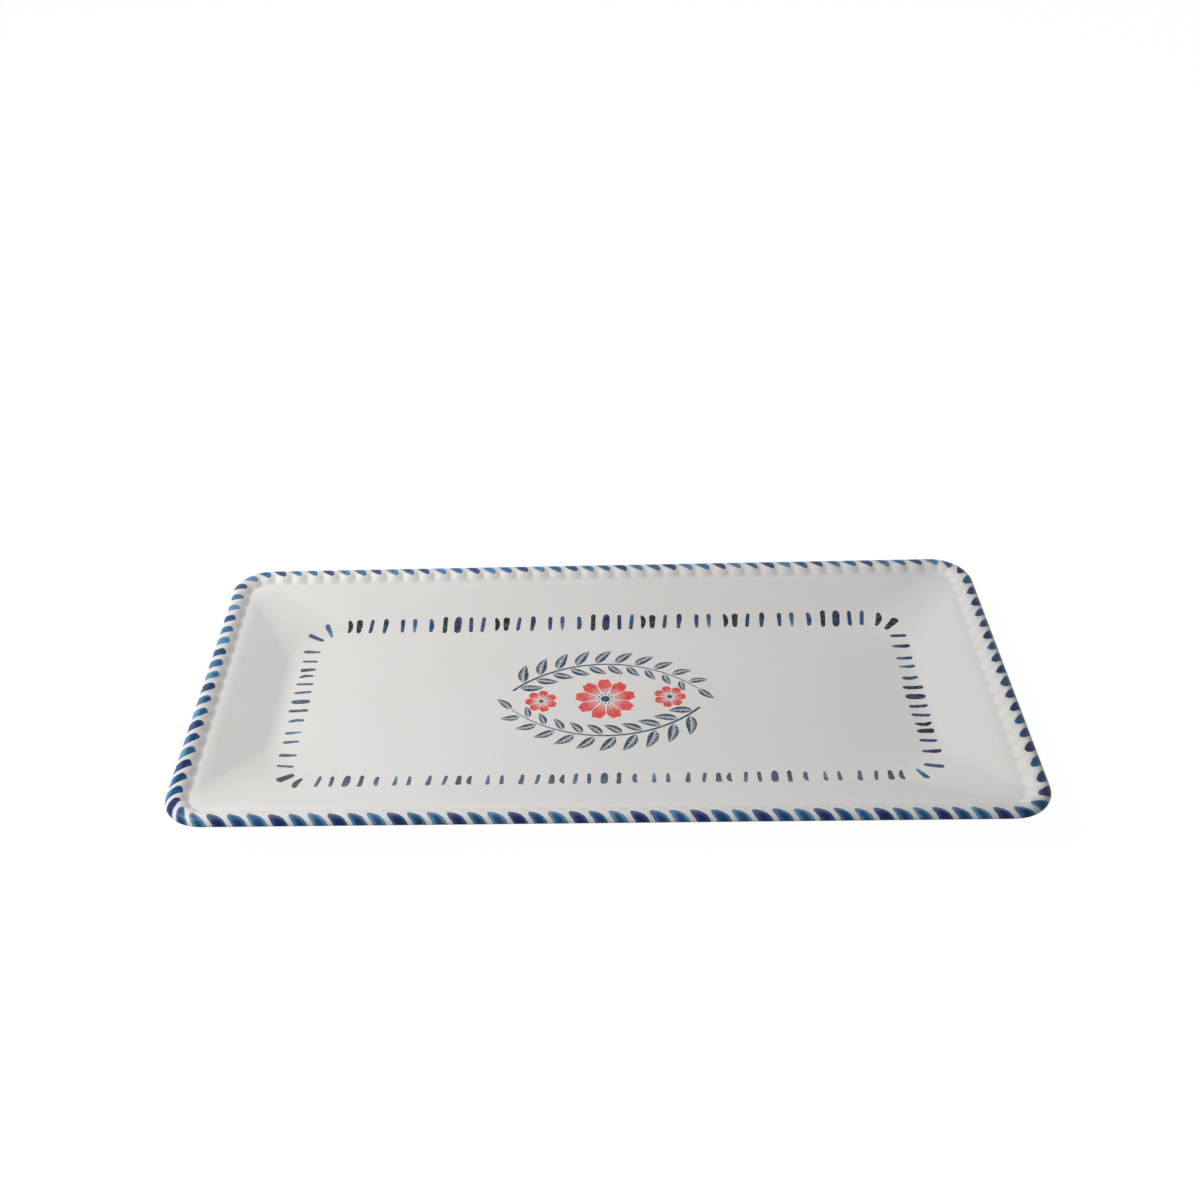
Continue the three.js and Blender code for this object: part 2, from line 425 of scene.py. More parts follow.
stroke_depth = np.minimum(stroke_depth, OUTER_FADE * (flat_inset - outer_start))
print("deepest paint is %.2f mm from its edge" % stroke_depth.max())

# %% How much paint each stroke holds, with painted sheen and shade
WASH_START = 0.25
SHEEN_FULL_UP_TO = 1.0
SHEEN_GONE_FROM = 5.5
HUE_ORDER = np.array([1.0, 0.0, 0.5])
tip_wash = along_rim(rim_at, 0.6, 0.1, 0.2, 0.0) * smoothstep(flat_inset / stroke_length, WASH_START, 1.0)
stroke_hue = HUE_ORDER[stroke_number % len(HUE_ORDER)]
# Towards the outer edge the strokes are paler, most on the left and less at the back: painted sheen, as on
# glaze that faces the window.
outer_part = 1 - smoothstep(flat_inset, SHEEN_FULL_UP_TO, SHEEN_GONE_FROM)
outer_sheen = along_rim(rim_at, 0.0, 0.0, 0.4, 1.1) * outer_part
# By side, the paint is darker on the right and paler at the back and front, and on the left it goes from
# paler at the front end to darker at the back. On the right this is painted shade, where the glaze reflects
# less light.
side_shade_and_load = along_rim(rim_at, -0.5, 0.7, -1.0, (-1.5, 1.0))
load_with_sheen_and_shade = load_by_lobe[stroke_number] + side_shade_and_load - outer_sheen


def give(piece, name, values):
    """Writes one number for each point of a piece, for its material to read."""
    layer = piece.data.attributes.new(name, "FLOAT", "POINT")
    layer.data.foreach_set("value", np.ascontiguousarray(values, np.float32).ravel())


paint_numbers = {
    "stroke_depth": stroke_depth,
    "tip_wash": tip_wash,
    "stroke_hue": stroke_hue,
    "load_with_sheen_and_shade": load_with_sheen_and_shade,
    # The groove number darkens the glaze in the grooves: painted shade, partly for glaze that pools there.
    "groove": hollow * groove * groove_depth,
}
for name, values in paint_numbers.items():
    give(rope_roll, name, values)
print("the rope's points carry:", ", ".join(paint_numbers))

# %% [markdown]
# The foot ring is a strip under the edge of the floor. Its standing face is wiped clean of glaze, so that
# it doesn't stick to the kiln shelf. It is out of sight in the photograph, and here it is the usual
# shape: sides with a little draft, and eased edges.

# %% The foot ring
FOOT_INSET = 39.5
FOOT_WIDTH = 4.5
FOOT_DRAFT = 0.4
FOOT_EDGE = 0.8
FOOT_CORNER_RADIUS = 12.0
FOOT_ROUND_STEPS = 6


def standing_foot():
    inner = FOOT_INSET + FOOT_WIDTH
    turn = np.linspace(0, np.pi / 2, FOOT_ROUND_STEPS + 1)
    ease_in = FOOT_EDGE * (1 - np.cos(turn))
    drop = FOOT_EDGE * (1 - np.sin(turn))
    outer_edge = np.stack([FOOT_INSET + FOOT_DRAFT + ease_in, drop], -1)
    inner_edge = np.stack([inner - FOOT_DRAFT - ease_in, drop], -1)[::-1]
    top = [[inner, FOOT_HEIGHT], [FOOT_INSET, FOOT_HEIGHT]]
    section = np.concatenate([top, outer_edge, inner_edge])
    outlines = [plan_outline(w, FOOT_CORNER_RADIUS - (w - FOOT_INSET), z) for w, z in section]
    faces = skin_faces(len(outlines), len(outlines[0]), True)
    return clay_piece("clay_foot", np.concatenate(outlines), faces.tolist())


clay_foot = standing_foot()

# %% [markdown]
# The painted border and the print lie in the well. Each patch of colour is a film three hundredths of a
# millimetre proud of the glaze, with its underside sunk into the body, so that its edge is real geometry
# and stays crisp in any view. A film starts as a grid of points in plan. Cells can be left out of the
# grid, which leaves bare lines, and the rest gets a top, an underside and walls.

# %% The well's surface
def well_height(x, y):
    """The height of the well's surface under a point in plan."""
    from_end = LENGTH / 2 - np.abs(x)
    from_side = WIDTH / 2 - np.abs(y)
    # In a corner, the outline whose arc passes through the point has an inset that solves a quadratic.
    start = well_corner_radius(0.0)
    pace = 1 + CORNER_GROWTH
    square = 2 * pace**2 - CORNER_GROWTH**2
    linear = pace * (2 * start - from_end - from_side) - start * CORNER_GROWTH
    rest = (start - from_end) ** 2 + (start - from_side) ** 2 - start**2
    round_inset = (np.sqrt(np.maximum(linear**2 - square * rest, 0)) - linear) / square
    centre = round_inset + well_corner_radius(round_inset)
    is_round = (from_end < centre) & (from_side < centre)
    inset = np.where(is_round, round_inset, np.minimum(from_end, from_side))
    return body_top(inset)


print("floor at %.1f mm, lip at %.1f mm" % (well_height(0, 0), well_height(LENGTH / 2 - FLANGE_INSET, 0)))

# %% Films of colour
FILM_PROUD = 0.03
FILM_SUNK = 0.05


def new_film():
    return {"points": [], "faces": [], "colours": [], "count": 0}


def lay_patch(film, plan, colours, inked=None):
    """Adds a grid of plan points to a film. Only the cells that are inked get faces."""
    rows, columns = plan.shape[:2]
    inked = np.ones((rows - 1, columns - 1), bool) if inked is None else inked
    across = plan[1:, 1:] - plan[:-1, :-1]
    along = plan[1:, :-1] - plan[:-1, 1:]
    if (across[..., 0] * along[..., 1] - across[..., 1] * along[..., 0]).sum() < 0:
        plan, colours, inked = plan[:, ::-1], colours[:, ::-1], inked[:, ::-1]
    height = well_height(plan[..., 0], plan[..., 1])
    for z in (height + FILM_PROUD, height - FILM_SUNK):
        film["points"].append(np.concatenate([plan, z[..., None]], -1).reshape(-1, 3))
        film["colours"].append(np.broadcast_to(colours, (rows, columns, 3)).reshape(-1, 3))
    first, under = film["count"], rows * columns
    film["count"] += 2 * under
    fenced = np.pad(inked, 1)
    for row, column in np.argwhere(inked):
        corner = first + row * columns + column
        ring = [corner, corner + 1, corner + columns + 1, corner + columns]
        film["faces"].append(ring)
        film["faces"].append([spot + under for spot in ring[::-1]])
        beside = [(row, column + 1), (row + 1, column + 2), (row + 2, column + 1), (row + 1, column)]
        for edge, (near_row, near_column) in enumerate(beside):
            if not fenced[near_row, near_column]:
                start, end = ring[edge], ring[(edge + 1) % 4]
                film["faces"].append([end, start, start + under, end + under])


# %% A film becomes a piece
def film_piece(name, film):
    points = np.concatenate(film["points"])
    colours = np.concatenate(film["colours"])
    faces = np.array(film["faces"])
    used, tidy_faces = np.unique(faces, return_inverse=True)
    piece = clay_piece(name, points[used], tidy_faces.reshape(faces.shape).tolist())
    layer = piece.data.attributes.new("ink", "FLOAT_COLOR", "POINT")
    with_alpha = np.concatenate([colours[used], np.ones((len(used), 1))], -1)
    layer.data.foreach_set("color", np.ascontiguousarray(with_alpha, np.float32).ravel())
    return piece


def ink(red, green, blue):
    """A colour on the usual scale of 0 to 255, as the linear numbers that Blender works with."""
    shown = np.array([red, green, blue]) / 255
    return np.where(shown <= 0.04045, shown / 12.92, ((shown + 0.055) / 1.055) ** 2.4)


# %% [markdown]
# The border is a ring of short dabs of a flat brush. They repeat in a set of eleven: two blacks, two thin
# blues and so on, and the ring turns into itself at half a turn, which is how a stamped or transferred
# border is laid. The half on the front and left is more worn, so its dabs are paler and thinner, and
# those on the left are a little turned. Each dab is a loft along its own length, with a left and a right
# width that wander a little.

# %% One dab of the brush
DAB_SEED = 5
DAB_ROWS = 15
DAB_COLUMNS = np.array([-1.0, -0.55, 0.0, 0.55, 1.0])
DAB_END_WIDTH = 0.12
QUICK_PACE = 2.3
QUICK_SHARE = 0.6
FLARE_LENGTH = 0.12
BLOT_LENGTH = 0.22
WORN_INK = ink(128, 142, 160)
dab_rng = np.random.default_rng(DAB_SEED)


def pointing(angle):
    """The direction in plan of an angle."""
    return np.array([np.cos(angle), np.sin(angle)])


def lay_dab(film, centre, outward, shape, pale):
    """A brush mark that runs from its outer end to its inner end. Its right is the clockwise side."""
    run = np.linspace(0, 1, DAB_ROWS)
    ends = np.clip(1 - np.abs(2 * run - 1) ** shape["blunt"], 0, 1) ** 0.5
    ends = np.maximum(ends, DAB_END_WIDTH) * (1 + shape["taper"] * (1 - 2 * run))
    slow, quick = dab_rng.uniform(0, 1, (2, 2, 1))
    slow_waves = np.sin(2 * np.pi * (run + slow))
    quick_waves = np.sin(2 * np.pi * (QUICK_PACE * run + quick))
    wander = shape["ragged"] * (slow_waves + QUICK_SHARE * quick_waves)
    flare = shape["flare"] * np.exp(-((run / FLARE_LENGTH) ** 2))
    left = shape["width"] * (0.5 - shape["bow"] * np.sin(np.pi * run)) * (1 + wander[0]) * ends + flare
    right = shape["width"] * (0.5 + shape["bow"] * np.sin(np.pi * run)) * (1 + wander[1]) * ends + flare
    right = right + shape["blot"] * np.exp(-(((run - shape["blot_at"]) / BLOT_LENGTH) ** 2)) * ends
    middle = shape["lean"] * (0.5 - run)
    side = DAB_COLUMNS[None]
    sideways = middle[:, None] + np.where(side < 0, left[:, None], right[:, None]) * side
    lengthways = (0.5 - run[:, None]) * shape["length"] + 0 * side
    out = pointing(outward)
    clockwise = np.array([out[1], -out[0]])
    plan = np.array(centre) + lengthways[..., None] * out + sideways[..., None] * clockwise
    fade = smoothstep(run, shape["fade_from"], 1.0)[:, None, None]
    colours = shape["head"] * (1 - fade) + shape["tail"] * fade
    colours = colours * (1 - pale) + WORN_INK * pale
    lay_patch(film, plan, np.broadcast_to(colours, (DAB_ROWS, len(DAB_COLUMNS), 3)))


# %% The eleven kinds of dab
SOOT = ink(20, 30, 38)
NAVY = ink(22, 48, 88)
INDIGO = ink(30, 66, 112)
MID_BLUE = ink(36, 86, 132)
THIN_BLUE = ink(56, 108, 152)
PALE_BLUE = ink(92, 146, 184)


def dab(length, width, head, tail, **more):
    shape = dict(lean=0.0, bow=0.0, taper=0.0, blot=0.0, blot_at=0.5, flare=0.0, blunt=8.0, ragged=0.03)
    return shape | dict(length=length, width=width, head=head, tail=tail, fade_from=0.3) | more


DABS = [
    dab(7.2, 2.3, SOOT, SOOT, bow=0.3, taper=0.15, blunt=2.4),
    dab(7.4, 2.7, SOOT, NAVY, lean=0.3, taper=0.25, ragged=0.05, fade_from=0.5),
    dab(7.5, 1.8, INDIGO, INDIGO, lean=1.1),
    dab(8.2, 2.0, NAVY, THIN_BLUE, lean=0.7, taper=0.15, blot=0.35, blot_at=0.35, fade_from=0.45),
    dab(7.4, 1.9, INDIGO, MID_BLUE, lean=0.2, taper=0.2),
    dab(7.6, 1.8, MID_BLUE, PALE_BLUE, lean=0.2, taper=0.3),
    dab(7.2, 2.0, MID_BLUE, INDIGO, bow=0.12, blot=0.3, blot_at=0.52, fade_from=0.2),
    dab(9.0, 2.2, SOOT, SOOT, lean=0.5, flare=0.25, ragged=0.05),
    dab(8.9, 3.5, NAVY, NAVY, lean=0.6, blunt=4.0),
    dab(8.3, 1.9, NAVY, INDIGO, lean=0.1),
    dab(8.3, 1.9, MID_BLUE, INDIGO, lean=1.0),
]
DAB_STEPS = [4.9, 6.0, 6.7, 8.5, 5.9, 7.9, 6.9, 6.2, 6.4, 5.8]
print("%d kinds of dab in a set %.1f mm long" % (len(DABS), sum(DAB_STEPS)))

# %% Where the dabs go
BORDER_CENTRE = np.array([2.1, 1.8])
FRONT_TWIN = dict(slip=(1.1, -0.9), turn=0, wear=0.25, width=0.88)
LEFT_TWIN = dict(slip=(0.3, -3.6), turn=7, wear=0.38, width=0.82)
CORNER_TWIN = dict(slip=(-0.2, -3.5), turn=0, wear=0.2, width=1.0)
CORNER_SWELL = 1.15
BACK_ROW_Y = 54.5
SIDE_ROW_X = 140.9
BACK_SETS = [(-120.7, 11), (-49.1, 11), (21.2, 6), (60.7, 11)]
SIDE_PLACES = [41.5, 34.4, 25.7, 19.7, 11.8, 4.9, -1.3, -7.8, -13.7, -19.1, -24.0, -30.2, -37.1]
SIDE_KINDS = [2, 3, 4, 5, 6, 7, 8, 9, 10, 0, 1, 2, 3]
CORNER_DABS = [
    (0, (132.9, 53.2), 75),
    (1, (138.8, 49.5), 45),
    (4, (139.8, -46.9), -22),
    (5, (134.0, -51.8), -65),
]


def half_border():
    """The shape, place and outward direction of each dab in half of the ring, and how its twin differs."""
    dabs = []
    for kind, place, turn in CORNER_DABS:
        swollen = {measure: CORNER_SWELL * DABS[kind][measure] for measure in ("length", "width")}
        dabs.append((DABS[kind] | swollen, np.array(place), np.radians(turn), CORNER_TWIN))
    for start, count in BACK_SETS:
        for shape, x in zip(DABS[:count], start + np.cumsum([0, *DAB_STEPS])):
            dabs.append((shape, np.array([x, BACK_ROW_Y]), np.pi / 2, FRONT_TWIN))
    for kind, y in zip(SIDE_KINDS, SIDE_PLACES):
        dabs.append((DABS[kind], np.array([SIDE_ROW_X, y]), 0.0, LEFT_TWIN))
    return dabs


border_film = new_film()
for shape, place, outward, twin in half_border():
    lay_dab(border_film, place, outward, shape, 0.0)
    twin_place = 2 * BORDER_CENTRE - place + np.array(twin["slip"])
    twin_outward = outward + np.pi + np.radians(twin["turn"])
    twin_shape = shape | {"width": shape["width"] * twin["width"]}
    lay_dab(border_film, twin_place, twin_outward, twin_shape, twin["wear"])
border_dabs = film_piece("border_dabs", border_film)

# %% [markdown]
# In the middle of the well is a print in navy and coral, cut like a linocut: solid shapes with tapering
# bare lines. Here it is an open wreath of two leafy sprigs round three blossoms. A half leaf and a petal
# are the same thing to the cutter, a comb with its back along one edge, so one function cuts both, and
# the place of each point comes from a small function for the leaf or the petal.

# %% A comb cut in lino
COMB_SEED = 23
COMB_COLUMNS = 7
CUT_JITTER = 0.12
CUT_DEPTHS = (0.75, 1.2)
CUT_LIMITS = (0.1, 0.9)
LEAST_GAP = 0.04
comb_rng = np.random.default_rng(COMB_SEED)


def lay_comb(film, place, teeth, gap, reach, colour):
    """place(u, t) gives plan points: u goes from tooth to tooth, t from the open ends to the solid back."""
    t = np.linspace(0, 1, COMB_COLUMNS)
    cuts = np.arange(1, teeth) / teeth + comb_rng.uniform(-CUT_JITTER, CUT_JITTER, teeth - 1) / teeth
    depths = np.clip(reach * comb_rng.uniform(*CUT_DEPTHS, teeth - 1), *CUT_LIMITS)
    rows, inked = [0 * t], []
    for cut, depth in zip(cuts, depths):
        half_gap = gap / teeth / 2 * np.maximum(1 - t / depth, LEAST_GAP)
        rows += [cut - half_gap, cut + half_gap]
        inked += [np.ones(COMB_COLUMNS - 1, bool), t[:-1] >= depth]
    rows.append(0 * t + 1)
    inked.append(np.ones(COMB_COLUMNS - 1, bool))
    u = np.array(rows)
    plan = place(u, np.broadcast_to(t, u.shape))
    lay_patch(film, plan, np.broadcast_to(colour, (*u.shape, 3)), np.array(inked))


# %% Leaves and stems
PRINT_NAVY = ink(40, 74, 100)
PRINT_CORAL = ink(228, 78, 76)
LEAF_TEETH = 10
LEAF_SLANT = 0.22
SLANT_PACE = 4
LEAF_RIB = 0.16
RIB_TAPER = 0.7
BELLY_SHIFT = 0.8
BELLY_FULLNESS = 0.85
LEAST_WIDTH = 0.03
RIGHT_HALF = dict(side=-1, reach=0.38, gap=0.5)
LEFT_HALF = dict(side=1, reach=0.86, gap=0.62)


def lay_leaf(film, base, heading, length, half_width, curl):
    """A leaf in two halves beside a bare midrib. The half to the right is darker."""
    for half in (RIGHT_HALF, LEFT_HALF):

        def half_leaf(u, t, side=half["side"]):
            s = u + LEAF_SLANT * t * (1 - u) * np.minimum(SLANT_PACE * u, 1)
            turn = heading + curl * (s - 0.5)
            belly = half_width * np.sin(np.pi * s**BELLY_SHIFT) ** BELLY_FULLNESS
            out = side * (LEAF_RIB * (1 - RIB_TAPER * s) + t * np.maximum(belly, LEAST_WIDTH))
            x = base[0] + s * length * np.cos(heading + curl * (s - 1) / 2) + out * -np.sin(turn)
            y = base[1] + s * length * np.sin(heading + curl * (s - 1) / 2) + out * np.cos(turn)
            return np.stack([x, y], -1)

        lay_comb(film, half_leaf, LEAF_TEETH, half["gap"], half["reach"], PRINT_NAVY)


def lay_stem(film, line, start_width, end_width, colour):
    """A stem that follows a line of plan points and tapers."""
    ahead = np.gradient(line, axis=0)
    ahead /= np.linalg.norm(ahead, axis=1, keepdims=True)
    beside = np.stack([-ahead[:, 1], ahead[:, 0]], -1)
    half = np.linspace(start_width, end_width, len(line))[:, None, None] / 2
    plan = line[:, None] + half * beside[:, None] * np.array([-1.0, 0.0, 1.0])[None, :, None]
    lay_patch(film, plan, np.broadcast_to(colour, (*plan.shape[:2], 3)))


# %% The arc of a sprig
PRINT_CENTRE = np.array([2.7, 0.3])
SPRIG_HALF_SPAN = 42.0
SPRIG_END_Y = 6.5
SPRIG_TOP_Y = 24.5


def sprig_line(part):
    """The arc that a sprig's stem follows, from its cut end to its tip: points and headings."""
    rise = SPRIG_TOP_Y - SPRIG_END_Y
    radius = (SPRIG_HALF_SPAN**2 + rise**2) / (2 * rise)
    half_turn = np.arcsin(SPRIG_HALF_SPAN / radius)
    turn = half_turn * (2 * np.asarray(part) - 1)
    return np.stack([radius * np.sin(turn), SPRIG_TOP_Y - radius + radius * np.cos(turn)], -1), -turn


print("a sprig spans %.0f mm" % (2 * SPRIG_HALF_SPAN))

# %% Two sprigs
STEM_STEPS = 60
STEM_WIDTHS = (1.15, 0.4)
LEAF_PAIRS = 10
FIRST_LEAF = 0.06
LEAFY_PART = 0.86
LEAF_STAGGER = 0.018
LEAF_SHRINK = 0.3
SHRINK_CURVE = 1.5
LEAF_STALK = 0.85
LEAF_PLUMPNESS = 0.19
LEAF_CURL = -0.5
RIGHT_LEAF = dict(side=-1, spread=np.radians(40), length=10.6)
LEFT_LEAF = dict(side=1, spread=np.radians(46), length=12.4)
TIP_STALK = 0.5
TIP_LEAF = dict(length=9.5, half_width=1.7, curl=0.3)


def lay_sprig(film, spin):
    """One leafy sprig, turned about the middle of the print."""
    turn = np.array([[np.cos(spin), np.sin(spin)], [-np.sin(spin), np.cos(spin)]])
    stem, _ = sprig_line(np.linspace(0, 1, STEM_STEPS))
    lay_stem(film, PRINT_CENTRE + stem @ turn, *STEM_WIDTHS, PRINT_NAVY)
    for pair in range(LEAF_PAIRS):
        part = FIRST_LEAF + LEAFY_PART * pair / (LEAF_PAIRS - 1)
        size = 1 - LEAF_SHRINK * (pair / (LEAF_PAIRS - 1)) ** SHRINK_CURVE
        _, (heading,) = sprig_line([part])
        for leaf in (RIGHT_LEAF, LEFT_LEAF):
            side = leaf["side"]
            (place,), _ = sprig_line([part + LEAF_STAGGER * side])
            base = place + LEAF_STALK * pointing(heading + side * np.pi / 2)
            base = PRINT_CENTRE + base @ turn
            leaf_heading = heading + leaf["spread"] * side + spin
            length = size * leaf["length"]
            lay_leaf(film, base, leaf_heading, length, LEAF_PLUMPNESS * length, LEAF_CURL * side)
    (tip,), (heading,) = sprig_line([1.0])
    tip_base = PRINT_CENTRE + (tip + TIP_STALK * pointing(heading)) @ turn
    lay_leaf(film, tip_base, heading + spin, **TIP_LEAF)


print_film = new_film()
lay_sprig(print_film, 0.0)
lay_sprig(print_film, np.pi)
print("the sprigs have %d points" % print_film["count"])

# %% A dot and a petal
DOT_ROWS = 13
DOT_COLUMNS = 5
LEAST_CHORD = 0.02
PETAL_NOTCH = 0.07
NOTCH_WIDTH = 0.28
PETAL_SHOULDER = 0.16
PETAL_WAIST = 0.62
PETAL_BELLY = 0.32
BELLY_REACH = 0.72
TIP_SPREAD = 1.12
TIP_NARROWING = 0.35


def lay_dot(film, centre, radius, colour):
    along = np.cos(np.linspace(0, np.pi, DOT_ROWS))[:, None]
    half = np.maximum(np.sqrt(np.maximum(1 - along**2, 0)), LEAST_CHORD)
    plan = np.stack(np.broadcast_arrays(along, half * np.linspace(-1, 1, DOT_COLUMNS)), -1)
    lay_patch(film, np.array(centre) + radius * plan, np.broadcast_to(colour, (*plan.shape[:2], 3)))


def petal_point(u, t, start, radius, share):
    """How far out a point of a petal is, and how far it turns from the petal's middle line."""
    side = 2 * u - 1
    notch = PETAL_NOTCH * np.exp(-((side / NOTCH_WIDTH) ** 2)) + PETAL_SHOULDER * np.abs(side) ** 3
    out = start + (radius * (1 - notch * t) - start) * t
    spread = share * (PETAL_WAIST + PETAL_BELLY * np.sin(np.pi * BELLY_REACH * t)) * side
    return out, spread * np.clip(TIP_SPREAD - TIP_NARROWING * t**4, 0, 1)


# %% Blossoms
BLOSSOMS = [
    dict(centre=(0.0, 0.0), radius=14.0, petals=9, teeth=7, start=0.2),
    dict(centre=(-29.0, -1.0), radius=7.5, petals=7, teeth=5, start=0.5),
    dict(centre=(29.0, 1.0), radius=7.5, petals=7, teeth=5, start=0.9),
]
EYE_SHARE = 0.24
PETAL_START = 1.25
PETAL_GAP = 0.66
PETAL_CUT = 0.62
EYE_DOT = 0.62
RING_OF_DOTS = 0.95
RING_DOT = 0.13
EXTRA_DOTS = 3


def lay_blossom(film, centre, radius, petals, teeth, start):
    """Petals round an eye of dots. Each petal is a comb with its back at the tip."""
    middle = PRINT_CENTRE + np.array(centre)
    eye = EYE_SHARE * radius
    share = np.pi / petals
    for petal in range(petals):
        facing = start + 2 * share * petal

        def petal_place(u, t, facing=facing):
            out, spread = petal_point(u, t, eye * PETAL_START, radius, share)
            angle = facing + spread
            return middle + np.stack([out * np.cos(angle), out * np.sin(angle)], -1)

        lay_comb(film, petal_place, teeth, PETAL_GAP, PETAL_CUT, PRINT_CORAL)
    lay_dot(film, middle, EYE_DOT * eye, PRINT_NAVY)
    dots = petals + EXTRA_DOTS
    for dot in range(dots):
        spot = middle + RING_OF_DOTS * eye * pointing(2 * np.pi * dot / dots)
        lay_dot(film, spot, RING_DOT * eye, PRINT_NAVY)


for blossom in BLOSSOMS:
    lay_blossom(print_film, **blossom)
well_print = film_piece("well_print", print_film)
print("the print spans", [round(size / MM, 1) for size in well_print.dimensions[:2]], "mm")

# %% [markdown]
# The glaze is a warm white with a satin gloss. Up close it has faint clouds, where it ran a little
# thicker or thinner, and a fine orange-peel skin. Both come from noise in the object's own space, so they
# need no map. A small helper adds nodes, because a material is easier to read as a list of what feeds
# what.

# %% Node helpers
def add_node(tree, kind, inputs=(), **settings):
    """Makes a node. Its inputs take plain values or the outputs of other nodes."""
    made = tree.nodes.new(kind)
    for name, value in settings.items():
        setattr(made, name, value)
    for name, value in dict(inputs).items():
        if isinstance(value, bpy.types.NodeSocket):
            tree.links.new(value, made.inputs[name])
        else:
            made.inputs[name].default_value = value
    return made


def clouds(tree, scale, detail=3.0, roughness=0.5):
    place = add_node(tree, "ShaderNodeTexCoord").outputs["Object"]
    inputs = {"Vector": place, "Scale": scale, "Detail": detail, "Roughness": roughness}
    return add_node(tree, "ShaderNodeTexNoise", inputs).outputs["Fac"]


def ranged(tree, value, low, high, to_low=0.0, to_high=1.0, soft=False):
    inputs = {"Value": value, "From Min": low, "From Max": high, "To Min": to_low, "To Max": to_high}
    kind = "SMOOTHSTEP" if soft else "LINEAR"
    return add_node(tree, "ShaderNodeMapRange", inputs, interpolation_type=kind).outputs[0]


def mixed(tree, part, first, second):
    inputs = {0: part, 6: first, 7: second}
    return add_node(tree, "ShaderNodeMix", inputs, data_type="RGBA").outputs[2]


def combined(tree, operation, first, second):
    return add_node(tree, "ShaderNodeMath", {0: first, 1: second}, operation=operation).outputs[0]


def bumpy(tree, height, strength, distance):
    inputs = {"Height": height, "Strength": strength, "Distance": distance}
    return add_node(tree, "ShaderNodeBump", inputs).outputs[0]


def read(tree, name):
    return add_node(tree, "ShaderNodeAttribute", attribute_name=name)


def opaque(colour):
    return (*[float(part) for part in colour], 1.0)


# %% The glaze
GLAZE_WHITE = (0.80, 0.776, 0.752)
GLAZE_THIN = (0.782, 0.756, 0.73)
GLAZE_GLOSS = 0.4
CLOUD_SPAN = (0.3, 0.7)
TINT_CLOUDS = dict(scale=14.0, detail=2.0)
SHEEN_CLOUDS = dict(scale=60.0)
SHEEN_ROUGHNESS = (0.27, 0.36)
SKIN_CLOUDS = dict(scale=420.0, detail=2.0)
SKIN_STRENGTH = 0.05
SKIN_HEIGHT = 0.0004


def new_material(name):
    """A new material, with its node tree and its shader."""
    material = bpy.data.materials.new(name)
    material.use_nodes = True
    return material, material.node_tree, material.node_tree.nodes["Principled BSDF"]


def glaze(name):
    """A new material with the plain glaze in it. Returns it with its tree, shader and glaze colour."""
    material, tree, shader = new_material(name)
    cloudy = ranged(tree, clouds(tree, **TINT_CLOUDS), *CLOUD_SPAN, soft=True)
    colour = mixed(tree, cloudy, opaque(GLAZE_WHITE), opaque(GLAZE_THIN))
    tree.links.new(colour, shader.inputs["Base Color"])
    sheen = ranged(tree, clouds(tree, **SHEEN_CLOUDS), *CLOUD_SPAN, *SHEEN_ROUGHNESS)
    tree.links.new(sheen, shader.inputs["Roughness"])
    skin = bumpy(tree, clouds(tree, **SKIN_CLOUDS), SKIN_STRENGTH, SKIN_HEIGHT)
    tree.links.new(skin, shader.inputs["Normal"])
    shader.inputs["Specular IOR Level"].default_value = GLAZE_GLOSS
    return material, tree, shader, colour


plain_glaze = glaze("satin_white_glaze")[0]
glazed_body.data.materials.append(plain_glaze)
print("made", plain_glaze.name)

# %% [markdown]
# The strokes on the rope are underglaze blue, put on with one press of a loaded brush. The paint pools in
# the middle and thins at its edge, where the white shows through. The glaze is a little darker in the
# grooves: painted shade, partly for glaze that pools there. The material reads how deep a point is in its
# stroke, adds noise so that the edge wavers, and picks one of three blues for the pool and for the thin
# edge. How dark the blue comes out also carries painted sheen and painted shade.

# %% The rope's paint
POOL_BLUES = [(0.0, ink(20, 42, 92)), (0.5, ink(26, 66, 108)), (1.0, ink(36, 82, 124))]
EDGE_BLUES = [(0.0, ink(58, 85, 132)), (0.5, ink(70, 122, 164)), (1.0, ink(94, 146, 184))]
WASHED_TIP = ink(122, 140, 168)
GROOVE_SHADE_GLAZE = (0.66, 0.65, 0.635)
GROOVE_SHADE_SHARE = 0.5
WAVER_CLOUDS = dict(scale=700.0, detail=2.0)
WAVER_SPAN = (0.25, 0.75)
EDGE_WAVER = 0.16
STREAK_CLOUDS = dict(scale=380.0)
STREAK_DEPTH = 0.35
POOL_DEPTHS = (0.15, 1.7)
WET_EDGE = (-0.06, 0.16)
ROPE_GLOSS = 0.14


def ramp(tree, value, colours):
    node = add_node(tree, "ShaderNodeValToRGB", {"Fac": value})
    stops = node.color_ramp.elements
    while len(stops) < len(colours):
        stops.new(0.5)
    for stop, (at, colour) in zip(stops, colours):
        stop.position = at
        stop.color = opaque(colour)
    return node.outputs["Color"]


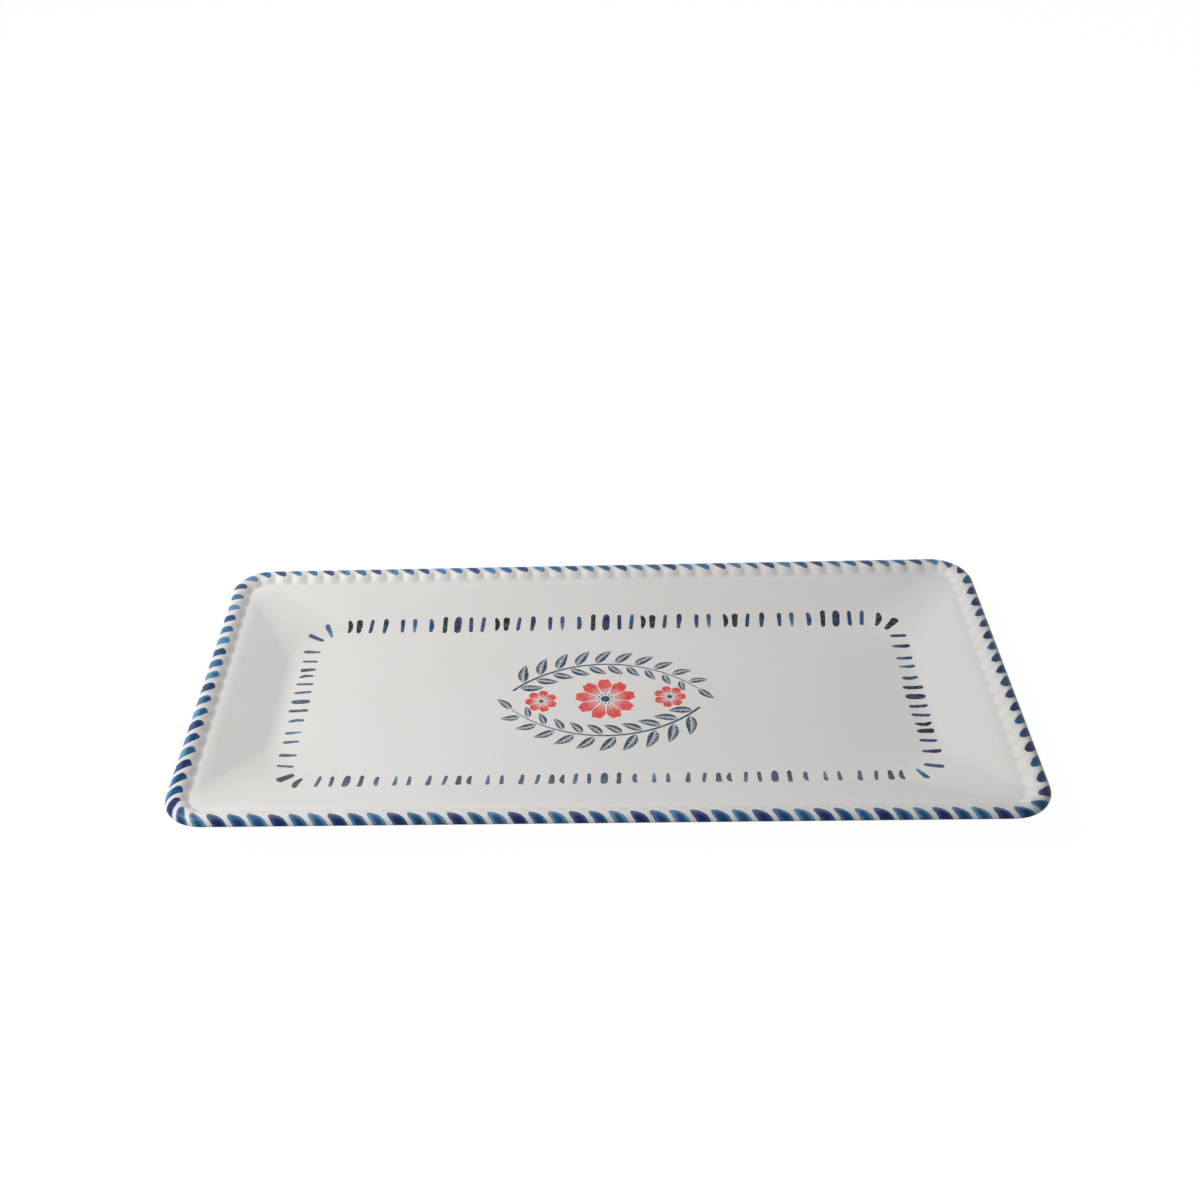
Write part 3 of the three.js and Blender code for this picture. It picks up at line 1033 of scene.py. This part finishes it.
def painted_rope():
    material, tree, shader, white = glaze("rope_blues")
    depth = read(tree, "stroke_depth").outputs["Fac"]
    hue = read(tree, "stroke_hue").outputs["Fac"]
    load_sheen_and_shade = read(tree, "load_with_sheen_and_shade").outputs["Fac"]
    waver = ranged(tree, clouds(tree, **WAVER_CLOUDS), *WAVER_SPAN, -EDGE_WAVER, EDGE_WAVER)
    is_painted = ranged(tree, combined(tree, "ADD", depth, waver), *WET_EDGE, soft=True)
    streaks = ranged(tree, clouds(tree, **STREAK_CLOUDS), *CLOUD_SPAN, -STREAK_DEPTH, STREAK_DEPTH)
    # The load numbers carry painted sheen and painted shade as well as the brush's load.
    pool_depth = combined(tree, "ADD", combined(tree, "ADD", depth, streaks), load_sheen_and_shade)
    pool = ranged(tree, pool_depth, *POOL_DEPTHS, soft=True)
    paint = mixed(tree, pool, ramp(tree, hue, EDGE_BLUES), ramp(tree, hue, POOL_BLUES))
    paint = mixed(tree, read(tree, "tip_wash").outputs["Fac"], paint, opaque(WASHED_TIP))
    # Painted shade in the grooves, partly for glaze that pools there.
    groove_shade = combined(tree, "MULTIPLY", read(tree, "groove").outputs["Fac"], GROOVE_SHADE_SHARE)
    white = mixed(tree, groove_shade, white, opaque(GROOVE_SHADE_GLAZE))
    tree.links.new(mixed(tree, is_painted, white, paint), shader.inputs["Base Color"])
    shader.inputs["Specular IOR Level"].default_value = ROPE_GLOSS
    return material


rope_blues = painted_rope()
rope_roll.data.materials.append(rope_blues)
print("made", rope_blues.name)

# %% [markdown]
# The dabs and the print sit in the same glaze, so they share its skin, but they have less gloss. Their
# colour comes with each film's points, and a fine cloud makes it denser here and thinner there, as ink or
# pigment is on real ware.

# %% Inks under the glaze
INK_GLOSS = 0.16
THIN_INK_SPAN = (0.42, 0.72)


def film_ink(name, grain, thinning):
    material, tree, shader, _ = glaze(name)
    colour = read(tree, "ink").outputs["Color"]
    thin = ranged(tree, clouds(tree, grain), *THIN_INK_SPAN, 0.0, thinning)
    lighter = mixed(tree, thin, colour, opaque(GLAZE_WHITE))
    tree.links.new(lighter, shader.inputs["Base Color"])
    shader.inputs["Specular IOR Level"].default_value = INK_GLOSS
    return material


border_dabs.data.materials.append(film_ink("brushed_dabs", grain=650.0, thinning=0.12))
well_print.data.materials.append(film_ink("lino_print", grain=420.0, thinning=0.14))
print("made the inks of the border and the print")

# %% [markdown]
# The foot's clay is bare: buff, matt and a little gritty. Sand shows as small dark specks, and the clay
# is rubbed smoother in places. Noise gives the tone and the rubbed places, and a cell pattern gives the
# grit.

# %% Bare clay
CLAY_BUFF = (0.66, 0.58, 0.47)
CLAY_PALE = (0.75, 0.69, 0.60)
CLAY_GRIT = (0.30, 0.23, 0.16)
CLAY_GLOSS = 0.2
CLAY_ROUGHNESS = (0.78, 0.95)
TONE_CLOUDS = dict(scale=90.0, detail=5.0)
RUBBED_CLOUDS = dict(scale=300.0)
GRAIN_CLOUDS = dict(scale=1500.0, detail=4.0, roughness=0.7)
GRAIN_STRENGTH = 0.35
GRAIN_HEIGHT = 0.0003
GRIT_SCALE = 900.0
GRIT_EDGE = (0.10, 0.22)
GRIT_SHARE = 0.7


def bare_clay():
    material, tree, shader = new_material("bare_buff_clay")
    place = add_node(tree, "ShaderNodeTexCoord").outputs["Object"]
    cells = add_node(tree, "ShaderNodeTexVoronoi", {"Vector": place, "Scale": GRIT_SCALE})
    grit = ranged(tree, cells.outputs["Distance"], *GRIT_EDGE, GRIT_SHARE, 0.0, soft=True)
    tone = mixed(tree, clouds(tree, **TONE_CLOUDS), opaque(CLAY_BUFF), opaque(CLAY_PALE))
    tree.links.new(mixed(tree, grit, tone, opaque(CLAY_GRIT)), shader.inputs["Base Color"])
    rubbed = ranged(tree, clouds(tree, **RUBBED_CLOUDS), *CLOUD_SPAN, *CLAY_ROUGHNESS)
    tree.links.new(rubbed, shader.inputs["Roughness"])
    grain = bumpy(tree, clouds(tree, **GRAIN_CLOUDS), GRAIN_STRENGTH, GRAIN_HEIGHT)
    tree.links.new(grain, shader.inputs["Normal"])
    shader.inputs["Specular IOR Level"].default_value = CLAY_GLOSS
    return material


clay_foot.data.materials.append(bare_clay())
print("made the foot's clay")

# %% [markdown]
# The platter stands on a white sweep, lit by one large window to its left and by soft light from all
# round. The light falls off from left to right across the well, as in the photograph, so the window is
# near. The sweep looks white because it glows for the camera and in reflections, and not because more
# light is put on the platter. It still takes a shadow.

# %% The floor
FLOOR_SIZE = 5.0
FLOOR_GLOW = 0.975
FLOOR_WHITE = (0.8, 0.8, 0.8)
FLOOR_SHADED = (0.09, 0.09, 0.09)


def seen_directly(tree):
    """One for a ray from the camera, or seen in gloss or through glass, and zero for other light."""
    path = add_node(tree, "ShaderNodeLightPath").outputs
    seen = combined(tree, "MAXIMUM", path["Is Camera Ray"], path["Is Glossy Ray"])
    return combined(tree, "MAXIMUM", seen, path["Is Transmission Ray"])


def white_sweep():
    half = FLOOR_SIZE / 2
    corners = [(-half, -half, 0), (half, -half, 0), (half, half, 0), (-half, half, 0)]
    mesh = bpy.data.meshes.new("white_sweep")
    mesh.from_pydata(corners, [], [(0, 1, 2, 3)])
    sweep = bpy.data.objects.new("white_sweep", mesh)
    bpy.context.scene.collection.objects.link(sweep)
    material, tree, shader = new_material("white_sweep")
    tree.nodes.remove(shader)
    lit = add_node(tree, "ShaderNodeBsdfDiffuse", {"Color": opaque(FLOOR_WHITE)}).outputs[0]
    shaded = add_node(tree, "ShaderNodeBsdfDiffuse", {"Color": opaque(FLOOR_SHADED)}).outputs[0]
    glow = add_node(tree, "ShaderNodeEmission", {"Strength": FLOOR_GLOW}).outputs[0]
    shown = add_node(tree, "ShaderNodeAddShader", {0: shaded, 1: glow}).outputs[0]
    both = add_node(tree, "ShaderNodeMixShader", {0: seen_directly(tree), 1: lit, 2: shown}).outputs[0]
    tree.links.new(both, tree.nodes["Material Output"].inputs["Surface"])
    mesh.materials.append(material)
    return sweep


white_sweep()
print("the sweep is %.0f m wide" % FLOOR_SIZE)

# %% The light
WINDOW_PLACE = (-0.69, 0.0, 0.81)
WINDOW_SIZE = 0.5
WINDOW_POWER = 9.9
SOFT_LIGHT = 0.14
ROOM_SEEN = 1.0

window_data = bpy.data.lights.new("window", "AREA")
window_data.size = WINDOW_SIZE
window_data.energy = WINDOW_POWER
window = bpy.data.objects.new("window", window_data)
window_back = np.array(WINDOW_PLACE) / np.linalg.norm(WINDOW_PLACE)
window_right = np.cross([0.0, 1.0, 0.0], window_back)
window_right /= np.linalg.norm(window_right)
window_up = np.cross(window_back, window_right)
window.matrix_world = standing(window_right, window_up, window_back, WINDOW_PLACE)
bpy.context.scene.collection.objects.link(window)

world = bpy.data.worlds.new("soft_room")
world.use_nodes = True
bpy.context.scene.world = world
room = world.node_tree
background = room.nodes["Background"]
room_level = ranged(room, seen_directly(room), 0.0, 1.0, SOFT_LIGHT, ROOM_SEEN)
room.links.new(room_level, background.inputs["Strength"])
background.inputs["Color"].default_value = (1.0, 1.0, 1.0, 1.0)
bpy.context.scene.view_settings.view_transform = "Standard"
print("window of %.1f W, soft light of %.2f" % (WINDOW_POWER, SOFT_LIGHT))

# %% [markdown]
# Last, each piece is tied to the frame: it rides on the one body and stands for its solid where it has
# one, which is then hidden. The table lists each piece with a finish and its solid.

# %% Tie the pieces to the frame
FINISHES = [
    (glazed_body, "glaze", "platter_body"),
    (rope_roll, "painted_glaze", "rope_rim"),
    (clay_foot, "bare_clay", "foot_ring"),
    (border_dabs, "painted_glaze", None),
    (well_print, "painted_glaze", None),
]
for piece, finish, solid in FINISHES:
    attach(piece, "root")
    if solid:
        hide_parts(solid)
